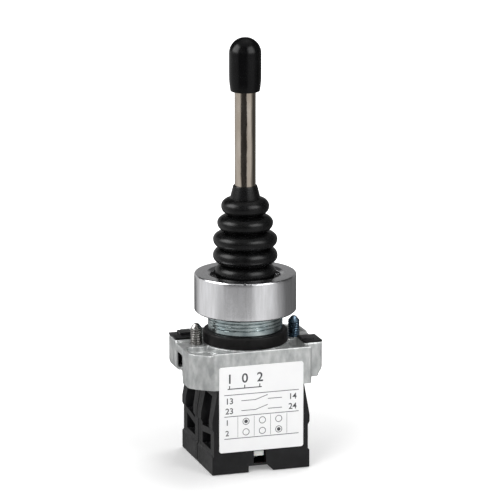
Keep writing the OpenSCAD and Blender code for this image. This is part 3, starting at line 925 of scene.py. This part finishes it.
# %% [markdown]
# ### Index notch
# On the real ring the notch is cast in. A Boolean modifier could cut it, but it would leave long
# thin faces round the rim, which spoil the reflections. The relief only moves points, so the
# ring is made of 480 columns, enough of them to draw the notch.

# %% Bezel piece
NOTCH_ANGLE = math.radians(-90 - 18)
NOTCH_R = 0.45 * MM
NOTCH_DEPTH = 0.8 * MM
RIM_COLUMNS = 480


def rim_notch(angle, profile):
    """Relief of the index notch.
    The distance from the notch's middle is worked out on the unrolled rim, as the arc
    sideways and the height below the top. Inside the notch's radius the rim shrinks by the
    square root of what is left, as a ball cutter leaves it, and the height counts one and a
    half times, which keeps the notch short."""
    sideways = bezel_r * np.angle(np.exp(1j * (angle - NOTCH_ANGLE)))
    below = profile[None, :, 1] - bezel_high[2]
    left = 1 - (sideways ** 2 + (1.5 * below) ** 2) / NOTCH_R ** 2
    near_rim = profile[None, :, 0] > lip_r + 2 * MM
    return -NOTCH_DEPTH * np.sqrt(np.clip(left, 0, 1)) * near_rim


bezel = revolve(densify(bezel_profile, 0.9 * MM), RIM_COLUMNS, rim_notch)
piece(make_mesh("bezel_satin", bezel), "base", "bezel_metal", ["bezel_ring"])

# %% [markdown]
# ## Threaded neck and clamp screws
# A thread is a true helix. At each point the phase is the height in pitches less the share of a
# turn, so that one turn climbs by one pitch. A wave of that phase, with a narrow root and a broad
# crest, is taken off the radius. The same relief serves the neck and the two screws that clamp
# the head to the panel. A Screw modifier winds a thread too, but it leaves open ends that would
# have to be stitched to the plain parts.

# %% Thread
ROOT_ENDS, CREST_STARTS = 0.06, 0.48


def thread(start, stop, pitch, depth, radius, margin=0.05 * MM):
    """Relief of a thread between two heights, on the faces that lie near radius.
    The phase is the height in pitches less the share of a turn. Its distance from the root's
    middle, in half pitches, gives a smooth step from the root to the crest. Over one pitch at
    each end the thread runs out."""
    def relief(angle, profile):
        z = profile[None, :, 1]
        phase = (z / pitch - angle / (2 * np.pi)) % 1
        slope = ramp(np.abs(2 * phase - 1), ROOT_ENDS, CREST_STARTS)
        ridge = slope * slope * (3 - 2 * slope)
        fade = ramp(z, start, start + pitch) * ramp(z, stop, stop - pitch)
        outside = np.abs(profile[None, :, 0] - radius) < margin
        return -depth * (1 - ridge) * np.clip(fade * 2, 0, 1) * outside
    return relief


print("share of a pitch at full height:", 1 - CREST_STARTS)

# %% [markdown]
# ### Neck
# The neck shows a bare stretch of thread between the bezel and the seal ring. Only that stretch
# needs many points, so the profile is made fine all round and then thinned elsewhere.

# %% Neck piece
NECK_PITCH = 1.0 * MM
NECK_DEPTH = 0.3 * MM
bush_low, bush_high = low("threaded_bush"), high("threaded_bush")
neck_z = high("seal_ring")[2]
nose_r = 10 * MM
bush_bore = 8.25 * MM
bush_profile = rounded([
    (bush_bore, bush_low[2]), (nose_r, bush_low[2]), (nose_r, neck_z), (neck_r, neck_z),
    (neck_r, step_z), (bush_high[0], step_z), (bush_high[0], bush_high[2]),
    (bush_bore, bush_high[2]),
], np.array([0.1, 0.2, 0.02, 0.25, 0.02, 0.05, 0.05, 0.1]) * MM)
bush_profile = densify(bush_profile, 0.08 * MM)
threaded = np.abs(bush_profile[:, 0] - neck_r) < 0.3 * MM
every_eighth = np.arange(len(bush_profile)) % 8 == 0
neck_thread = thread(neck_z + 1.1 * MM, step_z, NECK_PITCH, NECK_DEPTH, neck_r)
neck = revolve(bush_profile[threaded | every_eighth], 160, neck_thread)
piece(make_mesh("threaded_neck", neck), "base", "zinc_plate", ["threaded_bush"])

# %% [markdown]
# ### Clamp screws
# Two M3.5 screws come up through the collar and press on the panel from behind with a short
# cone. The same helper threads them, with a pitch a little coarser than the standard one, so
# that the turns can be told apart. It runs on a little way into the cone.

# %% Clamp screws
SCREW_PITCH = 0.7 * MM
SCREW_DEPTH = 0.36 * MM
SIDE_POINTS = 120
screw_low, screw_high = low("clamp_screws"), high("clamp_screws")
screw_r = (screw_high[1] - screw_low[1]) / 2
screw_x = screw_high[0] - screw_r
tip_z = screw_high[2]
shoulder_z = tip_z - 1.5 * MM
side_profile = np.stack([np.full(SIDE_POINTS, screw_r),
                         np.linspace(screw_low[2], shoulder_z, SIDE_POINTS)], 1)
screw_profile = np.concatenate([
    side_profile,
    rounded([(screw_r - 0.01 * MM, shoulder_z), (0.75 * MM, tip_z - 0.25 * MM),
             (0, tip_z), (0, shoulder_z)], np.array([0.02, 0.35, 0.02, 0.01]) * MM)[1:-6],
    [(0, tip_z - 0.02 * MM), (0, screw_low[2])],
])
screw_thread = thread(screw_low[2] + 0.3 * MM, shoulder_z + 0.4 * MM, SCREW_PITCH,
                      SCREW_DEPTH, screw_r)
screws = [revolve(screw_profile, 64, screw_thread, (x, 0)) for x in (-screw_x, screw_x)]
piece(make_mesh("clamp_screws_threaded", *screws), "base", "blue_zinc", ["clamp_screws"],
      smooth_angle=50)

# %% [markdown]
# ## Seal ring
# A thick black ring under the shoulder of the neck, moulded in rubber. A profile of four corners
# is enough, each with its own radius, and the outer edge at the top is the roundest.

# %% Seal ring
seal_low, seal_high = low("seal_ring"), high("seal_ring")
seal_profile = rounded([
    (nose_r + 0.05 * MM, seal_low[2]), (seal_high[0], seal_low[2]),
    (seal_high[0], seal_high[2]), (nose_r + 0.05 * MM, seal_high[2]),
], np.array([0.1, 0.3, 0.7, 0.3]) * MM, 8)
piece(make_mesh("seal_ring_rounded", revolve(seal_profile)), "base", "seal_rubber",
      ["seal_ring"])

# %% [markdown]
# ## Springs
# Inside each block a spring lifts the plunger, and a smaller one presses the contact bridge on
# its contacts. Round wire is wound on a helix whose first and last turns lie close, so that the
# spring stands level. Twisting a tube with a modifier would do as well, but with the formula the
# climb of each turn can be set. The lifting spring rides on no body, and its mesh is baked where
# it stands.

# %% Springs
WIRE_R = 0.2 * MM
CLOSED_TURN = 0.9
STEPS_PER_TURN, STEPS_ROUND = 36, 14


def spring(node, name, turns, body=None):
    """Spring that fills a CAD node's box.
    At the angle a along the coil and b round the wire, a point stands R + w cos b from the
    axis, in the direction of a, and w sin b above the wire's middle. The middle climbs by the
    wire's own thickness over the closed turn at each end, and evenly between them."""
    lowest, highest = low(node), high(node)
    axis = (lowest + highest) / 2
    coil_r = (highest[0] - lowest[0]) / 2 - WIRE_R
    rise = highest[2] - lowest[2]
    a = np.linspace(0, turns, int(turns * STEPS_PER_TURN) + 1)[:, None]
    b = np.linspace(0, 2 * np.pi, STEPS_ROUND, endpoint=False)[None, :]
    close = 2.05 * WIRE_R * CLOSED_TURN
    middle = np.interp(a, [0, CLOSED_TURN, turns - CLOSED_TURN, turns],
                       [WIRE_R, WIRE_R + close, rise - WIRE_R - close, rise - WIRE_R])
    out = coil_r + WIRE_R * np.cos(b)
    points = np.stack(np.broadcast_arrays(axis[0] + out * np.cos(2 * np.pi * a),
                                          axis[1] + out * np.sin(2 * np.pi * a),
                                          lowest[2] + middle + WIRE_R * np.sin(b)), -1)
    points = points.reshape(-1, 3)
    faces = grid_faces(a.size, b.size, False, True).tolist()
    ends = [list(range(b.size)), list(range(len(points) - b.size, len(points)))]
    made = piece(make_mesh(name, (points, faces + ends)), body, "plain_steel", [node])
    print(name, "turns:", turns, "height, mm:", round(rise / MM, 2))
    return made, lowest, highest


for side in ("front", "rear"):
    spring(f"{side}_contact_spring", f"{side}_contact_spring_wound", 3.5, f"{side}_slide")
    coil, foot, head = spring(f"{side}_return_spring", f"{side}_return_spring_wound", 5)
    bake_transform(coil)

# %% [markdown]
# ## Castings and mouldings
# The collar is a pressure casting and the blocks are injection moulded. Their shapes are already
# right, and only their edges are too sharp. The triangles of a solid are loose, so a copy is
# merged first. Modifiers then work on the copy, and the result is applied. Rebuilding these
# pieces from formulas would bring nothing more.

# %% Copy and apply


def merged_copy(node, name, tidy_slivers=True):
    """Copy of a CAD node's mesh, with its doubles merged."""
    mesh = frame["nodes"][node].data.copy()
    mesh.name = name
    work = bmesh.new()
    work.from_mesh(mesh)
    bmesh.ops.remove_doubles(work, verts=work.verts, dist=2e-6)
    if tidy_slivers:
        bmesh.ops.dissolve_degenerate(work, edges=work.edges, dist=2e-6)
    work.to_mesh(mesh)
    work.free()
    return mesh


def applied(obj, node):
    """Applies the modifiers of a piece, and keeps its points inside the box of the CAD node."""
    name = obj.data.name
    mesh = bpy.data.meshes.new_from_object(
        obj.evaluated_get(bpy.context.evaluated_depsgraph_get()))
    obj.modifiers.clear()
    obj.data = mesh
    mesh.name = name
    points = np.empty(len(mesh.vertices) * 3)
    mesh.vertices.foreach_get("co", points)
    points = np.clip(points.reshape(-1, 3), low(node), high(node))
    mesh.vertices.foreach_set("co", points.ravel())
    return mesh


print("solids to copy:", len(frame["nodes"]))

# %% [markdown]
# ### Collar
# The collar has many thin rims that meet at odd angles, where a bevel would tangle. So the solid
# is filled with small cubes instead, a new skin is stretched over them, and a little smoothing
# rounds every edge and fillets every corner, as they are in a casting.

# %% Collar
CUBE = 0.28 * MM
collar = piece(merged_copy("collar", "collar_casting", tidy_slivers=False), "base",
               "zinc_casting", ["collar"], smooth_angle=0)
skin = collar.modifiers.new("skin", "REMESH")
skin.mode = "VOXEL"
skin.voxel_size = CUBE
relax = collar.modifiers.new("relax", "SMOOTH")
relax.factor = 0.5
relax.iterations = 2
thin = collar.modifiers.new("fewer faces", "DECIMATE")
thin.ratio = 0.45
cast = applied(collar, "collar")
cast.shade_smooth()
cast.set_sharp_from_angle(angle=math.radians(60))
print("collar faces:", len(cast.polygons))

# %% [markdown]
# ### Edges of a moulding
# A mould has small radii everywhere. A Bevel modifier rounds every edge that turns by more than
# an angle. Where edges crowd together it can throw a corner outwards, and a Shrinkwrap modifier
# brings such corners back to the solid.

# %% Rounded edges
EDGE_TURN = 28


def softened(node, name, width):
    """Black moulding with the faces of a CAD node and rounded edges of a given width."""
    obj = piece(merged_copy(node, name), "base", "black_plastic", [node], smooth_angle=0)
    bevel = obj.modifiers.new("rounded edges", "BEVEL")
    bevel.width = width
    bevel.segments = 3
    bevel.limit_method = "ANGLE"
    bevel.angle_limit = math.radians(EDGE_TURN)
    bevel.use_clamp_overlap = False
    bevel.harden_normals = True
    inside = obj.modifiers.new("inside the solid", "SHRINKWRAP")
    inside.target = frame["nodes"][node]
    inside.wrap_method = "NEAREST_SURFACEPOINT"
    inside.wrap_mode = "INSIDE"
    print(name, "faces with round edges:", len(applied(obj, node).polygons))


print("edges round where they turn by more than, degrees:", EDGE_TURN)

# %% [markdown]
# ### Contact blocks and latches
# The two blocks are the same moulding turned round, each with a cover on its inner side. The
# latches in the ears of the collar hold them. The latches are thinner, so their edges are
# rounded a little less.

# %% Blocks and latches
for node, name, width in (
        ("front_block_housing", "front_housing_moulded", 0.12 * MM),
        ("rear_block_housing", "rear_housing_moulded", 0.12 * MM),
        ("front_block_cover", "front_cover_moulded", 0.12 * MM),
        ("rear_block_cover", "rear_cover_moulded", 0.12 * MM),
        ("side_latches", "side_latches_moulded", 0.10 * MM)):
    softened(node, name, width)

# %% [markdown]
# ## Label
# A satin plastic plate glued over the front of the collar and the front block. The plate is a
# rounded rectangle carried forwards through a few steps that shrink by a quarter of a circle, so
# its front edge is softly rounded. A flat box with a picture on it would be quicker, but its
# edge would catch no light, and its print would blur in a close view.

# %% Label plate
label_low, label_high = low("rating_label"), high("rating_label")
PRINT_T = 0.012 * MM
LABEL_EDGE = 0.12 * MM
LABEL_CORNER = 0.7 * MM
label_front = label_low[1] + PRINT_T


def label_loop(inset, y):
    """Rounded rectangle of the label, taken in all round by an inset, at the depth y."""
    x0, x1 = label_low[0] + inset, label_high[0] - inset
    z0, z1 = label_low[2] + inset, label_high[2] - inset
    loop = rounded([(x0, z0), (x1, z0), (x1, z1), (x0, z1)], LABEL_CORNER - inset, 9)
    return np.stack([loop[:, 0], np.full(len(loop), y), loop[:, 1]], -1)


quarter = np.linspace(0, np.pi / 2, 5)
insets = LABEL_EDGE * (1 - np.cos(quarter))
depths = label_front + LABEL_EDGE * (1 - np.sin(quarter))
loops = [label_loop(0, label_high[1])] + [label_loop(i, y) for i, y in zip(insets, depths)]
count = len(loops[0])
walls = grid_faces(len(loops), count, wrap_rows=False)
caps = [list(range(count)), list(range((len(loops) - 1) * count, len(loops) * count))]
piece(make_mesh("label_plate", (np.concatenate(loops), walls.tolist() + caps)), "base",
      "label_white", ["rating_label"])

# %% [markdown]
# ### Print
# On the plate stands plain print only: rules, two contact symbols with the usual numbers of
# their terminals, and the lever's positions. Each line, number and ring is a solid as thin as
# ink, a hair inside the front of the label's box, so it stays sharp at any distance. All of them
# are gathered in a list and become one piece.

# %% Print helpers
ink_parts = []
TAKE_OFF = 0.001 * MM
BOLDER = 0.014


def stroke(x0, z0, x1, z1, width):
    """Thin printed line: a box along the line from one point to the other."""
    along = np.array([x1 - x0, z1 - z0], float)
    across = np.array([-along[1], along[0]]) / np.linalg.norm(along) * width / 2
    ends = np.array([(x0, z0), (x0, z0), (x1, z1), (x1, z1)])
    ring = ends + across * np.array([[1], [-1], [-1], [1]])
    front = np.stack([ring[:, 0], np.full(4, label_low[1] + TAKE_OFF), ring[:, 1]], -1)
    rear = front + [0, PRINT_T + TAKE_OFF, 0]
    faces = [[0, 1, 2, 3], [7, 6, 5, 4], [0, 4, 5, 1], [1, 5, 6, 2], [2, 6, 7, 3], [3, 7, 4, 0]]
    ink_parts.append((np.concatenate([front, rear]), faces))


def figure(text, x, z, size):
    """Printed number whose lower left corner is at x, z."""
    curve = bpy.data.curves.new("figure", "FONT")
    curve.body = text
    curve.size = size
    curve.extrude = PRINT_T / 2
    curve.offset = BOLDER * size
    writer = bpy.data.objects.new("figure", curve)
    bpy.context.scene.collection.objects.link(writer)
    flat = bpy.data.meshes.new_from_object(writer.evaluated_get(
        bpy.context.evaluated_depsgraph_get()))
    points = np.empty(len(flat.vertices) * 3)
    flat.vertices.foreach_get("co", points)
    points = points.reshape(-1, 3)
    middle = label_low[1] + TAKE_OFF + PRINT_T / 2
    placed = np.stack([x + points[:, 0], middle - points[:, 2], z + points[:, 1]], -1)
    ink_parts.append((placed, [list(face.vertices) for face in flat.polygons]))
    bpy.data.objects.remove(writer)
    bpy.data.meshes.remove(flat)
    bpy.data.curves.remove(curve)


print("print stands on the plate, mm thick:", PRINT_T / MM)

# %% [markdown]
# ### Positions and contacts
# The scale at the top gives the lever's three positions, as a dial does. Below it each contact is
# drawn as in a circuit: a wire from each terminal, and an open blade between them.

# %% Rules, positions and contacts
left = label_low[0] + 1.5 * MM
right = label_high[0] - 1.5 * MM
top_z = label_high[2]
RULE_DROPS = np.array([8.4, 14.9, 21.6]) * MM
RULE_W, SCALE_W, COLUMN_W = 0.20 * MM, 0.30 * MM, 0.10 * MM
SCALE_DROP, TICK = 6.6 * MM, 1.0 * MM
POSITION_STEP, POSITION_SIZE, NUMBER_SIZE = 4.6 * MM, 3.9 * MM, 2.5 * MM
for drop in RULE_DROPS:
    stroke(left, top_z - drop, right, top_z - drop, RULE_W)
for k, position in enumerate(("1", "0", "2")):
    middle = left + 1.6 * MM + POSITION_STEP * k
    figure(position, middle - 0.9 * MM, top_z - 4.9 * MM, POSITION_SIZE)
    stroke(middle, top_z - SCALE_DROP + TICK, middle, top_z - SCALE_DROP, SCALE_W)
stroke(left + 1.0 * MM, top_z - SCALE_DROP, left + 11.4 * MM, top_z - SCALE_DROP, SCALE_W)
for row, numbers in enumerate((("13", "14"), ("23", "24"))):
    z = top_z - (11.1 + 3.0 * row) * MM
    figure(numbers[0], left + 0.3 * MM, z, NUMBER_SIZE)
    figure(numbers[1], right - 3.1 * MM, z, NUMBER_SIZE)
    wire_z = z + 0.75 * MM
    stroke(left + 5.2 * MM, wire_z, left + 9.6 * MM, wire_z, RULE_W)
    stroke(left + 9.5 * MM, wire_z, left + 13.2 * MM, wire_z + 1.2 * MM, RULE_W)
    stroke(left + 13.3 * MM, wire_z, left + 17.6 * MM, wire_z, RULE_W)
print("print parts so far:", len(ink_parts))

# %% [markdown]
# ### Table of positions
# Each row is one contact, each column one position of the lever. A dot in a ring says that the
# contact is closed there. A ring is a grid that closes both ways, with two radii and two depths.

# %% Table of positions
COLUMN_STEP = 5.0 * MM
RING_POINTS = 40


def ring(x, z, outer_r, inner_r):
    """Printed ring: points at two radii round the middle, in front and behind."""
    a = np.linspace(0, 2 * np.pi, RING_POINTS, endpoint=False)[:, None]
    radius = np.array([[outer_r, outer_r, inner_r, inner_r]])
    front, rear = label_low[1] + TAKE_OFF, label_low[1] + PRINT_T + 2 * TAKE_OFF
    depth = np.broadcast_to([[front, rear, rear, front]], (RING_POINTS, 4))
    points = np.stack([x + radius * np.cos(a), depth, z + radius * np.sin(a)], -1)
    ink_parts.append((points.reshape(-1, 3), grid_faces(RING_POINTS, 4).tolist()))


for row, closed in enumerate((0, 2)):
    z = top_z - (16.7 + 3.2 * row) * MM
    figure(str(row + 1), left + 0.3 * MM, z - 0.8 * MM, 2.3 * MM)
    for k in range(3):
        x = left + 6.6 * MM + COLUMN_STEP * k
        ring(x, z, 1.05 * MM, 0.86 * MM)
        if k == closed:
            ring(x, z, 0.55 * MM, 0.02 * MM)
for k in range(4):
    x = left + 4.1 * MM + COLUMN_STEP * k
    stroke(x, top_z - 15.2 * MM, x, top_z - 21.3 * MM, COLUMN_W)
piece(make_mesh("label_print", *ink_parts), "base", "label_white", smooth_angle=30,
      finish="label_ink")
